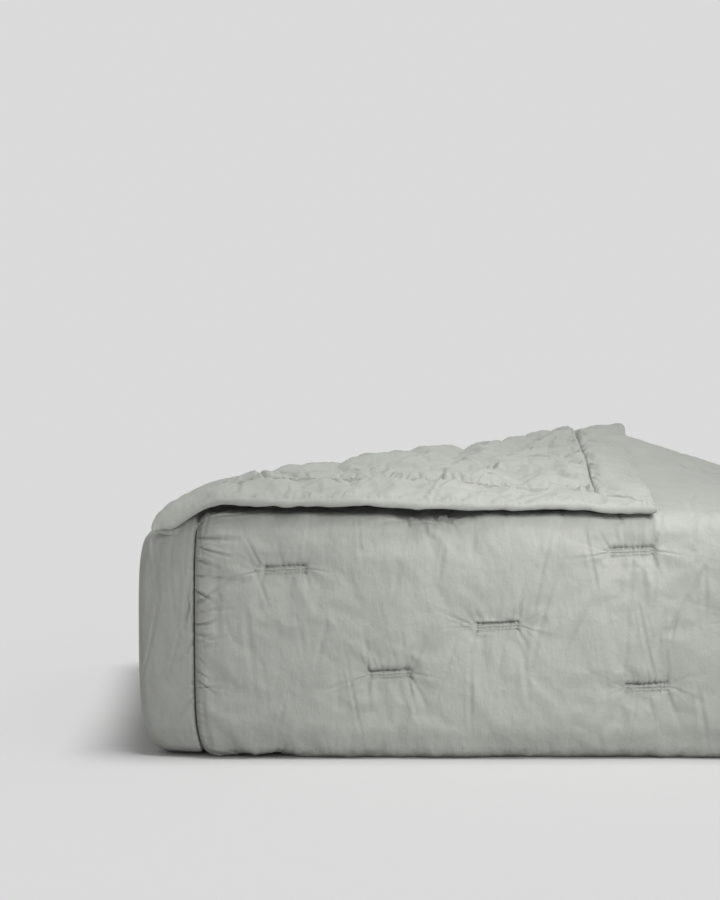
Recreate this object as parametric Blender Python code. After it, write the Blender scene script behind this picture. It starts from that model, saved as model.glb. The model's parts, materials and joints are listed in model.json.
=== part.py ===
"""Folded bed quilt with one corner of its top leaf turned back.

The quilt is first folded in three across its width, which makes a strip of three layers: the outer
third, the middle third and the inner third. The strip is then folded along its length: the top leaf
runs forward from its head hem, bends down the front, runs back along the bottom, and zigzags inside
as panels two, three and four. Each layer is a sandwich of face fabric, batting and back fabric, with
a wide bound hem stitched along its free edges and short box tacks through all plies.

Metres, +Z up, +X to the right, +Y to the back. The origin is under the middle of the bounding box.
"""

import math

import bmesh
import bpy
from mathutils import Matrix, Vector

# Driving dimensions
WIDTH = 0.745  # folded width, a third of the quilt's width
FRONT = -0.229  # the front face
BACK = 0.2365  # the outside of the back folds
LAYER = 0.0145  # one quilt layer at rest under the stack
PANEL = 0.044  # height taken by one strip of three layers
GAP = 0.0003  # clearance between touching solids
FABRIC = 0.0008  # fabric with the fill's nap clinging to it
HEM = 0.051  # two-inch bound hem
SEAM = 0.0018  # groove between the hem and the filled part
THREAD_REACH = 0.004  # how far a seam's thread reaches either way from the layer's middle
LEAF_DEPTH = 0.453  # front face to the top leaf's head edge
OVERHANG = 0.009  # how far the turned-back edge stands over the front face
FLAP_THICKNESS = 0.0126
CREASE_FRONT = 0.0023  # how far the crease stands over the top layer at the front
CREASE_BACK = 0.0173  # and at the back, where the turned-back layer bulges most
CREASE_RELIEF = 0.001  # the flap starts this far beyond its crease
CORNER_GAP = 0.0006  # clearance at the hem's mitre and at the foot hem
TACK_LENGTH = 0.037
TACK_HEIGHT = 0.007
TACK_THICKNESS = 0.0012
TACK_TILT = math.radians(2.5)
BEND_STEPS = 8  # segments in half a turn

# Sizes that follow from them
LEFT = -WIDTH / 2
RIGHT = WIDTH / 2
HALF_LAYER = LAYER / 2 - GAP / 2
HALF_STRIP = LAYER + HALF_LAYER
BEND = PANEL / 2
WALL_TOP = HALF_STRIP + 3 * PANEL + BEND  # where the front face gives way to the leaf's fold
TOP = HALF_STRIP + 4 * PANEL + HALF_STRIP
HEAD_EDGE = FRONT + LEAF_DEPTH
FLAP_LEG = LEAF_DEPTH + OVERHANG  # both free edges of the turned-back corner

THIRDS = (("outer", LAYER), ("middle", 0.0), ("inner", -LAYER))
PLIES = (
    ("face_fabric", HALF_LAYER - FABRIC, HALF_LAYER),
    ("batting", -HALF_LAYER + FABRIC + GAP, HALF_LAYER - FABRIC - GAP),
    ("back_fabric", -HALF_LAYER, -HALF_LAYER + FABRIC),
)

# Tacks on the front face: distance from the middle, and height
FRONT_TACKS = (
    (-0.2405, 0.1700),
    (-0.1465, 0.0760),
    (-0.0515, 0.1190),
    (0.0685, 0.1860),
    (0.0825, 0.0640),
    (0.1900, 0.1250),
    (0.2900, 0.0650),
    (-0.2675, 0.0120),
    (-0.1120, 0.2076),
)


def clear_scene():
    for thing in list(bpy.data.objects):
        bpy.data.objects.remove(thing, do_unlink=True)


def make_collection(name):
    collection = bpy.data.collections.new(name)
    bpy.context.scene.collection.children.link(collection)
    return collection


def make_material(name, colour, roughness):
    material = bpy.data.materials.new(name)
    material.use_nodes = True
    shader = material.node_tree.nodes["Principled BSDF"]
    shader.inputs["Base Color"].default_value = (*colour, 1.0)
    shader.inputs["Roughness"].default_value = roughness
    shader.inputs["Metallic"].default_value = 0.0
    return material


def outline_solid(name, outline, height, frame, collection, material):
    """Extrudes a closed outline in the frame's X-Y plane by height along the frame's Z."""
    mesh = bmesh.new()
    corners = [mesh.verts.new((x, y, 0.0)) for x, y in outline]
    base = mesh.faces.new(corners)
    made = bmesh.ops.extrude_face_region(mesh, geom=[base])
    lifted = [item for item in made["geom"] if isinstance(item, bmesh.types.BMVert)]
    bmesh.ops.translate(mesh, verts=lifted, vec=(0.0, 0.0, height))
    bmesh.ops.recalc_face_normals(mesh, faces=mesh.faces)
    data = bpy.data.meshes.new(name)
    mesh.to_mesh(data)
    mesh.free()
    solid = bpy.data.objects.new(name, data)
    solid.matrix_world = frame
    if material is not None:
        data.materials.append(material)
    collection.objects.link(solid)
    return solid


def side_frame(x):
    """A frame whose X-Y plane is the object's Y-Z plane at x, and whose Z runs to the right."""
    return Matrix(((0, 0, 1, x), (1, 0, 0, 0), (0, 1, 0, 0), (0, 0, 0, 1)))


def arc(y, z, radius, start, turn, outward):
    """Path points on an arc: place and direction of the layer's face side, in the Y-Z plane."""
    steps = max(2, round(BEND_STEPS * abs(turn) / math.pi))
    points = []
    for step in range(steps + 1):
        angle = start + turn * step / steps
        along = Vector((math.cos(angle), math.sin(angle)))
        points.append((Vector((y, z)) + radius * along, outward * along))
    return points


def panel_height(number):
    return HALF_STRIP + (number - 1) * PANEL


def stack_path():
    """Middle of the strip from the top of the front face down and through panels one to four."""
    front = FRONT + HALF_STRIP
    back_turn = BACK - HALF_STRIP - BEND
    front_turn = FRONT + 2 * HALF_STRIP + 2 * GAP + HALF_STRIP + BEND
    quarter, half = math.pi / 2, math.pi
    path = [(Vector((front, WALL_TOP - GAP)), Vector((-1, 0)))]
    path += arc(front + BEND, panel_height(1) + BEND, BEND, half, quarter, 1)
    path += arc(back_turn, panel_height(1) + BEND, BEND, -quarter, half, 1)
    path += arc(front_turn, panel_height(2) + BEND, BEND, -quarter, -half, -1)
    path += arc(back_turn, panel_height(3) + BEND, BEND, -quarter, half, 1)
    foot = FRONT + 2 * HALF_STRIP + CORNER_GAP
    return path, foot


def leaf_path():
    """Middle of the strip from the top of the front face up, round the fold and back."""
    front = FRONT + HALF_STRIP
    return arc(front + BEND, WALL_TOP, BEND, math.pi, -math.pi / 2, 1)


def band(path, low, high):
    """Outline of a ply that follows the path, from the offset low to the offset high."""
    inner = [place + low * face for place, face in path]
    outer = [place + high * face for place, face in path]
    return [tuple(point) for point in outer + inner[::-1]]


def cut(solid, cutter):
    modifier = solid.modifiers.new("corner", "BOOLEAN")
    modifier.operation = "DIFFERENCE"
    modifier.solver = "EXACT"
    modifier.object = cutter


def make_corner_cutter(collection):
    """Takes out of the outer third's top layer the corner that is turned back."""
    crease_x, reach = LEFT + OVERHANG, WIDTH
    outline = (
        (crease_x - reach, FRONT - reach),
        (crease_x + reach, FRONT + reach),
        (crease_x - reach, FRONT + reach),
    )
    low = TOP - LAYER
    frame = Matrix.Translation((0.0, 0.0, low))
    cutter = outline_solid("corner_cutter", outline, 2 * LAYER, frame, collection, None)
    cutter.hide_render = True
    cutter.display_type = "WIRE"
    return cutter


def make_stack(collection, paint):
    """Front face, bottom and inner panels: the part of the quilt that stays still."""
    path, foot = stack_path()
    place, face = path[-1]
    hem_start = foot + HEM
    long_path = path + [(Vector((hem_start + SEAM, place.y)), face)]
    hem_path = [(Vector((hem_start, place.y)), face), (Vector((foot, place.y)), face)]
    for third, middle in THIRDS:
        left, right = LEFT, RIGHT
        if third == "outer":
            left += HEM + SEAM
        if third == "inner":
            right -= HEM + SEAM
        for ply, low, high in PLIES:
            outline = band(long_path, middle + low, middle + high)
            name = f"stack_{third}_{ply}"
            outline_solid(name, outline, right - left, side_frame(left), collection, paint[ply])
        outline = band(hem_path, middle - HALF_LAYER, middle + HALF_LAYER)
        name = f"foot_hem_{third}"
        outline_solid(name, outline, right - left, side_frame(left), collection, paint["hem"])
    end_path = path + [hem_path[-1]]
    for name, x, middle in (("stack_side_hem", LEFT, LAYER), ("stack_inner_side_hem", RIGHT - HEM, -LAYER)):
        outline = band(end_path, middle - HALF_LAYER, middle + HALF_LAYER)
        outline_solid(name, outline, HEM, side_frame(x), collection, paint["hem"])
    outline = band(end_path, LAYER - THREAD_REACH, LAYER + THREAD_REACH)
    frame = side_frame(LEFT + HEM + GAP)
    outline_solid("stack_seam_thread", outline, SEAM - 2 * GAP, frame, collection, paint["thread"])


def make_leaf(collection, paint, cutter, parent):
    """Top leaf, from the fold over the front face to its head hem."""
    path = leaf_path()
    place, face = path[-1]
    hem_start = HEAD_EDGE - HEM
    long_path = path + [(Vector((hem_start - SEAM, place.y)), face)]
    hem_path = [(Vector((hem_start, place.y)), face), (Vector((HEAD_EDGE, place.y)), face)]
    made = []
    for third, middle in THIRDS:
        left, right = LEFT, RIGHT
        if third == "outer":
            left += HEM + SEAM
        if third == "inner":
            right -= HEM + SEAM
        for ply, low, high in PLIES:
            outline = band(long_path, middle + low, middle + high)
            name = f"leaf_{third}_{ply}"
            frame = side_frame(left)
            solid = outline_solid(name, outline, right - left, frame, collection, paint[ply])
            made.append((solid, third))
        outline = band(hem_path, middle - HALF_LAYER, middle + HALF_LAYER)
        name = f"head_hem_{third}"
        solid = outline_solid(name, outline, right - left, side_frame(left), collection, paint["hem"])
        made.append((solid, third))
    outline = band(long_path, LAYER - HALF_LAYER, LAYER + HALF_LAYER)
    solid = outline_solid("leaf_side_hem", outline, HEM, side_frame(LEFT), collection, paint["hem"])
    made.append((solid, "outer"))
    end_path = path + [hem_path[-1]]
    outline = band(end_path, -LAYER - HALF_LAYER, -LAYER + HALF_LAYER)
    frame = side_frame(RIGHT - HEM)
    solid = outline_solid("leaf_inner_side_hem", outline, HEM, frame, collection, paint["hem"])
    made.append((solid, "inner"))
    outline = band(long_path, LAYER - THREAD_REACH, LAYER + THREAD_REACH)
    frame = side_frame(LEFT + HEM + GAP)
    solid = outline_solid(
        "leaf_seam_thread", outline, SEAM - 2 * GAP, frame, collection, paint["thread"]
    )
    made.append((solid, "outer"))
    for solid, third in made:
        if third == "outer":
            cut(solid, cutter)
        hang_on(solid, parent)


def hang_on(solid, parent):
    """Parents a solid without moving it."""
    solid.parent = parent
    solid.matrix_parent_inverse = parent.matrix_world.inverted()


def make_hinge(name, frame, parent=None):
    """An empty on the line about which a folded part turns."""
    hinge = bpy.data.objects.new(name, None)
    bpy.context.scene.collection.objects.link(hinge)
    hinge.empty_display_size = HEM
    hinge.matrix_world = frame
    if parent is not None:
        hang_on(hinge, parent)
    return hinge


def flap_frame():
    """X along the crease, Y away from the flap's tip, Z out of the flap's upper side."""
    front = Vector((LEFT + OVERHANG, FRONT, TOP + CREASE_FRONT))
    back = front + Vector((LEAF_DEPTH, LEAF_DEPTH, CREASE_BACK - CREASE_FRONT))
    tip = Vector((front.x + LEAF_DEPTH, FRONT - OVERHANG, TOP + GAP))
    along = (back - front).normalized()
    reach = tip - front
    away = -(reach - reach.dot(along) * along).normalized()
    up = along.cross(away)
    frame = Matrix((along, away, up)).transposed().to_4x4()
    frame.translation = front
    return frame


def flap_point(along, inward):
    """A point of the turned-back corner: along its side edge from the crease, and in from it."""
    x, y = along - OVERHANG, inward - OVERHANG
    return ((x + y) / math.sqrt(2), (y - x) / math.sqrt(2))


def make_flap(collection, paint, parent):
    """The turned-back corner. It is upside down, so its back fabric is on top."""
    frame = parent.matrix_world
    leg, edge, start = FLAP_LEG, HEM + SEAM, CREASE_RELIEF
    filled = [
        flap_point(edge + start, edge),
        flap_point(leg - edge, edge),
        flap_point(leg - edge, leg - edge - start),
    ]
    side_hem = [
        flap_point(start, 0.0),
        flap_point(leg, 0.0),
        flap_point(leg - HEM, HEM),
        flap_point(HEM + start, HEM),
    ]
    head_hem = [
        flap_point(leg, CORNER_GAP),
        flap_point(leg, leg - start),
        flap_point(leg - HEM, leg - HEM - start),
        flap_point(leg - HEM, HEM + CORNER_GAP),
    ]
    near, far = HEM + GAP, edge - GAP
    side_seam = [
        flap_point(near + start, near),
        flap_point(leg - edge, near),
        flap_point(leg - edge, far),
        flap_point(far + start, far),
    ]
    head_seam = [
        flap_point(leg - near, edge),
        flap_point(leg - near, leg - near - start),
        flap_point(leg - far, leg - far - start),
        flap_point(leg - far, edge),
    ]
    thickness = FLAP_THICKNESS - GAP
    middle = GAP + thickness / 2
    fill = thickness - 2 * FABRIC - 2 * GAP
    solids = (
        ("flap_face_fabric", filled, GAP, FABRIC, "face_fabric"),
        ("flap_batting", filled, 2 * GAP + FABRIC, fill, "batting"),
        ("flap_back_fabric", filled, FLAP_THICKNESS - FABRIC, FABRIC, "back_fabric"),
        ("flap_side_hem", side_hem, GAP, thickness, "hem"),
        ("flap_head_hem", head_hem, GAP, thickness, "hem"),
        ("flap_side_seam_thread", side_seam, middle - THREAD_REACH, 2 * THREAD_REACH, "thread"),
        ("flap_head_seam_thread", head_seam, middle - THREAD_REACH, 2 * THREAD_REACH, "thread"),
    )
    for name, outline, low, height, slot in solids:
        place = frame @ Matrix.Translation((0.0, 0.0, low))
        solid = outline_solid(name, outline, height, place, collection, paint[slot])
        hang_on(solid, parent)


def tack_outline():
    """A bar with round ends, along X."""
    radius, steps = TACK_HEIGHT / 2, 4
    reach = TACK_LENGTH / 2 - radius
    points = []
    for side in (1, -1):
        for step in range(steps + 1):
            angle = math.pi * (step / steps - 0.5)
            points.append((side * (reach + radius * math.cos(angle)), side * radius * math.sin(angle)))
    return points


def make_tack(name, frame, collection, paint, parent=None):
    """A box tack, lying on the frame's X-Y plane with its length along X."""
    place = frame @ Matrix.Translation((0.0, 0.0, GAP))
    tack = outline_solid(name, tack_outline(), TACK_THICKNESS, place, collection, paint["thread"])
    if parent is not None:
        hang_on(tack, parent)


def front_frame(x, height):
    """A frame on the outside of the front face, whose Z points out of the quilt."""
    lean, radius = 0.0, BEND + HALF_STRIP
    low, high = panel_height(1) + BEND, WALL_TOP
    if height > high:
        lean = math.asin((height - high) / radius)
    elif height < low:
        lean = -math.asin((low - height) / radius)
    y = FRONT + radius * (1 - math.cos(lean))
    turn = Matrix.Rotation(math.pi / 2 - lean, 4, "X") @ Matrix.Rotation(TACK_TILT, 4, "Z")
    return Matrix.Translation((x, y, height)) @ turn


def make_tacks(collection, paint, leaf_hinge, flap_hinge):
    for number, (x, height) in enumerate(FRONT_TACKS, 1):
        parent = leaf_hinge if height > WALL_TOP else None
        make_tack(f"front_tack_{number}", front_frame(x, height), collection, paint, parent)
    across = Matrix.Rotation(math.pi / 2, 4, "Z")
    for number, (x, y) in enumerate(((0.20, -0.10), (0.29, 0.02), (0.16, 0.10)), 1):
        frame = Matrix.Translation((x, y, TOP)) @ Matrix.Rotation(TACK_TILT, 4, "Z")
        make_tack(f"leaf_tack_{number}", frame, collection, paint, leaf_hinge)
    for number, (along, inward) in enumerate(((0.19, 0.10), (0.32, 0.13), (0.36, 0.27)), 1):
        x, y = flap_point(along, inward)
        turn = Matrix.Rotation(-math.pi / 4, 4, "Z") @ across
        frame = flap_hinge.matrix_world @ Matrix.Translation((x, y, FLAP_THICKNESS)) @ turn
        make_tack(f"flap_tack_{number}", frame, collection, paint, flap_hinge)
    outward = Matrix.Rotation(math.pi, 4, "Z") @ Matrix.Rotation(math.pi / 2, 4, "X")
    for number, (x, panel) in enumerate(((0.20, 1), (-0.12, 1), (0.05, 3)), 1):
        height = panel_height(panel) + BEND
        frame = Matrix.Translation((x, BACK, height)) @ outward
        make_tack(f"back_tack_{number}", frame, collection, paint)


def main():
    clear_scene()
    parts = make_collection("folded_quilt")
    cutters = make_collection("cutters")
    paint = {
        "face_fabric": make_material("sage_face_fabric", (0.40, 0.42, 0.37), 0.92),
        "back_fabric": make_material("sage_back_fabric", (0.40, 0.42, 0.37), 0.92),
        "hem": make_material("sage_hem", (0.39, 0.41, 0.36), 0.90),
        "batting": make_material("white_batting", (0.86, 0.86, 0.84), 0.98),
        "thread": make_material("sage_thread", (0.33, 0.35, 0.30), 0.80),
    }
    cutter = make_corner_cutter(cutters)
    leaf_hinge = make_hinge("leaf_hinge", Matrix.Translation((0.0, FRONT, TOP)))
    flap_hinge = make_hinge("flap_hinge", flap_frame(), leaf_hinge)
    make_stack(parts, paint)
    make_leaf(parts, paint, cutter, leaf_hinge)
    make_flap(parts, paint, flap_hinge)
    make_tacks(parts, paint, leaf_hinge, flap_hinge)


main()
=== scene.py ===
"""Looks of the folded quilt: padded cloth, hems, puckers, tacks and the studio round them.

Every visible layer is a closed padded sheet. It is laid out in flat cloth coordinates (u, v), and a
place function carries those to the folded shape. Relief - loft, tack dips, puckers, seam gathers and
tension wrinkles - is worked out in the flat cloth, so it follows the folds.
"""

import json
import math

import bpy
import numpy as np
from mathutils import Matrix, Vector


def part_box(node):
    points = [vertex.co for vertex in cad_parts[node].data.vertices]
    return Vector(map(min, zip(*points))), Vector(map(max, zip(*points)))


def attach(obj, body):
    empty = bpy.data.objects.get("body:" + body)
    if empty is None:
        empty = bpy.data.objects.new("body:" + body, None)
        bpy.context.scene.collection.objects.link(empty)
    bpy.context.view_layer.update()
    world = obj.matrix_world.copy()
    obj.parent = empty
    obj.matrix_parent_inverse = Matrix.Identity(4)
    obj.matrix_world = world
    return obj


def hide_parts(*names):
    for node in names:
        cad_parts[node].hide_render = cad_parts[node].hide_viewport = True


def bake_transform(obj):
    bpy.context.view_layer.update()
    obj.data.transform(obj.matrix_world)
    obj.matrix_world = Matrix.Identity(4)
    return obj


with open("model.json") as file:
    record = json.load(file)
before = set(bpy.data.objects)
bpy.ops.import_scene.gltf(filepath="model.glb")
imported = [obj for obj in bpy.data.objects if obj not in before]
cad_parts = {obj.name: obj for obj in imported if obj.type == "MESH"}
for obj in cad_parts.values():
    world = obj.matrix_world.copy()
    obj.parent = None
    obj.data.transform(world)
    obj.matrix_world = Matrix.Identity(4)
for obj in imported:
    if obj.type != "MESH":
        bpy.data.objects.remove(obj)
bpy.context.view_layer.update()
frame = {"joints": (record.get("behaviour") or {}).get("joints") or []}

# Places and sizes read from the frame
HEM_LOW, HEM_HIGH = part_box("stack_side_hem")
_, PANEL_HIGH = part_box("leaf_outer_face_fabric")
_, HEAD_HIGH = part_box("head_hem_outer")
STACK_LOW, STACK_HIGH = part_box("stack_outer_face_fabric")
LAYER_LOW, LAYER_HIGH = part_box("head_hem_middle")
FOOT_LOW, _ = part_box("foot_hem_middle")
LEFT, RIGHT = HEM_LOW[0], STACK_HIGH[0]
FRONT, BACK = STACK_LOW[1], STACK_HIGH[1]
WALL_TOP, TOP = STACK_HIGH[2], PANEL_HIGH[2]
HEAD_EDGE = HEAD_HIGH[1]
HEM = HEM_HIGH[0] - HEM_LOW[0]
SEAM = LEFT + HEM  # where the side hem meets the filled panel
LAYER = LAYER_HIGH[2] - LAYER_LOW[2]
STRIP = TOP - WALL_TOP  # the three thirds of the quilt together
FLAP_HINGE = next(j for j in frame["joints"] if j["child"] == "corner_flap")
CREASE = np.array(FLAP_HINGE["pos_m"])
OVERHANG = CREASE[0] - LEFT
LEG = HEAD_EDGE - FRONT + OVERHANG  # both free edges of the turned-back corner

# Cloth
FINE = 0.0017  # grid spacing where the camera looks
COARSE = 0.006
SAGE = (0.400, 0.409, 0.379)
THREAD_COLOUR = (0.40, 0.41, 0.375)


def smooth(low, high, value):
    t = np.clip((value - low) / (high - low), 0.0, 1.0)
    return t * t * (3 - 2 * t)


def noise(u, v, size, seed):
    """Smooth lattice noise from -1 to 1 with bumps about size wide."""
    lattice = np.random.default_rng(seed).uniform(-1, 1, (64, 64))
    x, y = np.asarray(u) / size + 31.7, np.asarray(v) / size + 17.3
    i, j = np.floor(x).astype(int), np.floor(y).astype(int)
    fx, fy = x - i, y - j
    fx, fy = fx * fx * (3 - 2 * fx), fy * fy * (3 - 2 * fy)
    i, j, k, m = i % 64, j % 64, (i + 1) % 64, (j + 1) % 64
    low = lattice[i, j] * (1 - fx) + lattice[k, j] * fx
    high = lattice[i, m] * (1 - fx) + lattice[k, m] * fx
    return low * (1 - fy) + high * fy


class Crease:
    """A sunk line in the cloth with a raised shoulder on each side, deepest near its start."""

    def __init__(self, u, v, angle, length, width, depth, bend=0.0, even=False):
        self.u, self.v, self.angle, self.length = u, v, angle, length
        self.width, self.depth, self.bend, self.even = width, depth, bend, even

    def add(self, u, v, height):
        reach = self.length + 5 * self.width
        near = (np.abs(u - self.u) < reach) & (np.abs(v - self.v) < reach)
        if not near.any():
            return
        du, dv = u[near] - self.u, v[near] - self.v
        c, s = math.cos(self.angle), math.sin(self.angle)
        t = (du * c + dv * s) / self.length
        across = dv * c - du * s - self.bend * self.length * t * t
        inside = np.clip(t, 0, 1)
        if self.even:
            strength = np.sin(math.pi * inside) ** 0.8
            width = self.width * (0.6 + 0.4 * np.sin(math.pi * inside))
        else:
            strength = smooth(0, 0.06, t) * (1 - inside) ** 1.1
            width = self.width * (0.5 + 0.9 * inside)
        a = across / width
        shape = -np.exp(-a * a)
        shape += 0.5 * np.exp(-(((a - 1.7) / 1.2) ** 2)) + 0.35 * np.exp(-(((a + 1.8) / 1.3) ** 2))
        height[near] += 2.4 * self.depth * strength * shape


class Tack:
    """A box tack: it pins the layer flat over a short bar and draws the cloth round it into puckers."""

    def __init__(self, u, v, angle, seed):
        self.u, self.v, self.angle = u, v, angle
        self.length, self.height = 0.036, 0.0066
        rng = np.random.default_rng(seed)
        self.creases = []
        half = self.length / 2
        for k in range(8):
            along = half * (-0.9 + 1.8 * (k + rng.uniform(-0.3, 0.3)) / 7)
            lean = math.pi / 2 - along / half * rng.uniform(0.2, 0.6) + rng.uniform(-0.2, 0.2)
            length, deep = rng.uniform(0.009, 0.024), rng.uniform(0.0004, 0.0009)
            self.fan(along, self.height / 2, lean, length, rng.uniform(0.0011, 0.0018), deep)
        for k in range(4):
            along = half * rng.uniform(-0.9, 0.9)
            lean = -math.pi / 2 + along / half * rng.uniform(0.1, 0.5)
            length = rng.uniform(0.010, 0.022)
            self.fan(along, -self.height / 2, lean, length, rng.uniform(0.0014, 0.0022), 0.00035)
        self.first_long = len(self.creases)  # the creases before this one are short puckers
        for side in (-1, 1):
            for k in range(3):
                lean = math.pi / 2 - side * (rng.uniform(0.0, 0.5) + 0.75 * k)
                length = rng.uniform(0.022, 0.060)
                deep = rng.uniform(0.0006, 0.0014) * (1.0 if k == 0 else 0.45)
                bend = rng.uniform(-0.15, 0.15)
                place = side * (half + 0.0008)
                self.fan(place, 0.0012, lean, length, rng.uniform(0.0011, 0.0019), deep, bend)
            lean = -math.pi / 2 + side * rng.uniform(0.1, 0.5)
            self.fan(side * half, -0.002, lean, rng.uniform(0.018, 0.036), 0.002, 0.0009)

    def fan(self, along, up, lean, length, width, depth, bend=0.0):
        c, s = math.cos(self.angle), math.sin(self.angle)
        u, v = self.u + along * c - up * s, self.v + along * s + up * c
        self.creases.append(Crease(u, v, lean + self.angle, length, width, depth, bend))

    def local(self, u, v):
        c, s = math.cos(self.angle), math.sin(self.angle)
        du, dv = u - self.u, v - self.v
        return du * c + dv * s, dv * c - du * s

    def sink(self, u, v):
        """How far the loft is drawn in, from 0 far away to 1 at the tack."""
        a, b = self.local(u, v)
        half = self.length / 2
        over = np.maximum(np.abs(a) - half, 0)
        away = np.where(b > 0, np.maximum(b - self.height / 2, 0), np.maximum(-b - self.height / 2, 0) * 0.62)
        r = np.sqrt(over**2 + away**2)
        return 0.55 * np.exp(-r / 0.010) + 0.45 * np.exp(-((r / 0.036) ** 1.3))

    def relief(self, u, v, height):
        a, b = self.local(u, v)
        ends = 1 - smooth(0.0, 0.0022, np.abs(a) - self.length / 2)
        groove = np.exp(-(((b - self.height / 2 - 0.0009) / 0.0013) ** 2)) * ends
        rows = np.exp(-((b / 0.0008) ** 2)) + np.exp(-(((b + self.height / 2 - 0.0006) / 0.0008) ** 2))
        posts = np.exp(-(((np.abs(a) - self.length / 2) / 0.0010) ** 2)) * (np.abs(b) < self.height / 2)
        height -= 0.0042 * groove + 0.0013 * rows * ends + 0.0014 * posts
        for crease in self.creases:
            crease.add(u, v, height)


def seam_gathers(length, seed, place, turn=0.0, flip=1, reach=(0.008, 0.032), depth=(0.0006, 0.0015)):
    """Short creases that start on a seam and run into the cloth.

    place carries a length along the seam to flat (u, v), and turn is the direction into the cloth.
    """
    rng = np.random.default_rng(seed)
    gap = (0.006, 0.015)
    found, v = [], rng.uniform(*gap)
    while v < length:
        angle = turn + flip * rng.normal(-0.15, 0.35)
        long, deep = rng.uniform(*reach), rng.uniform(*depth)
        curl = rng.uniform(-0.25, 0.25)
        found.append(Crease(*place(v), angle, long, rng.uniform(0.0013, 0.0028), deep, curl))
        v += rng.uniform(*gap)
    return found


def tension_wrinkles(low, high, count, seed, angle=math.pi / 2, spread=0.18, depth=(0.0003, 0.0010)):
    """Long soft wrinkles over the area from low to high."""
    rng = np.random.default_rng(seed)
    found = []
    for _ in range(count):
        u, v = rng.uniform(low[0], high[0]), rng.uniform(low[1], high[1])
        turn = rng.normal(angle, spread)
        long = rng.uniform(0.035, 0.12)
        width, deep = rng.uniform(0.0011, 0.0030), rng.uniform(*depth)
        found.append(Crease(u, v, turn, long, width, deep, rng.uniform(-0.12, 0.12), even=True))
    return found


def cloth_crumple(u, v, seed):
    """Washed-cotton crumple: soft dents, long fine folds that run down the cloth, and a fine crinkle."""
    height = 0.0004 * noise(u, v, 0.070, seed)
    height += 0.00016 * noise(u * 1.3, v * 0.7, 0.024, seed + 1)
    lean = u + 0.10 * v + 0.006 * noise(u, v, 0.05, seed + 4)
    folds = 1 - np.abs(noise(lean * 7.0, v, 0.085, seed + 5))
    height -= 0.0009 * np.clip(folds - 0.82, 0, 1) / 0.18 * np.clip(noise(u, v, 0.06, seed + 6) + 0.35, 0, 1)
    height += 0.00030 * noise(u * 1.4, v * 0.7, 0.010, seed + 2)
    height += 0.00022 * noise(u * 1.2, v * 0.8, 0.0045, seed + 3)
    return height


def cubic(grid, x, y):
    """Smooth interpolation of a grid of heights at fractional grid places x, y."""
    n, m = grid.shape
    i, j = np.clip(np.floor(x).astype(int), 0, n - 2), np.clip(np.floor(y).astype(int), 0, m - 2)
    fx, fy = np.clip(x - i, 0, 1), np.clip(y - j, 0, 1)

    def weights(t):
        a, b, c = t, t * t, t * t * t
        return (-a + 2 * b - c) / 2, (2 - 5 * b + 3 * c) / 2, (a + 4 * b - 3 * c) / 2, (c - b) / 2

    wx, wy = weights(fx), weights(fy)
    total = np.zeros_like(x, dtype=float)
    for p in range(4):
        for q in range(4):
            total += wx[p] * wy[q] * grid[np.clip(i + p - 1, 0, n - 1), np.clip(j + q - 1, 0, m - 1)]
    return total


def blurred(grid, radius):
    """Gaussian blur of a grid, repeating its edges."""
    reach = int(3 * radius)
    kernel = np.exp(-0.5 * (np.arange(-reach, reach + 1) / radius) ** 2)
    kernel /= kernel.sum()
    for axis in (0, 1):
        wide = np.pad(grid, [(reach, reach) if a == axis else (0, 0) for a in (0, 1)], mode="edge")
        grid = np.apply_along_axis(lambda row: np.convolve(row, kernel, mode="valid"), axis, wide)
    return grid


def add_object(name, data):
    made = bpy.data.objects.new(name, data)
    bpy.context.scene.collection.objects.link(made)
    return made


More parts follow.
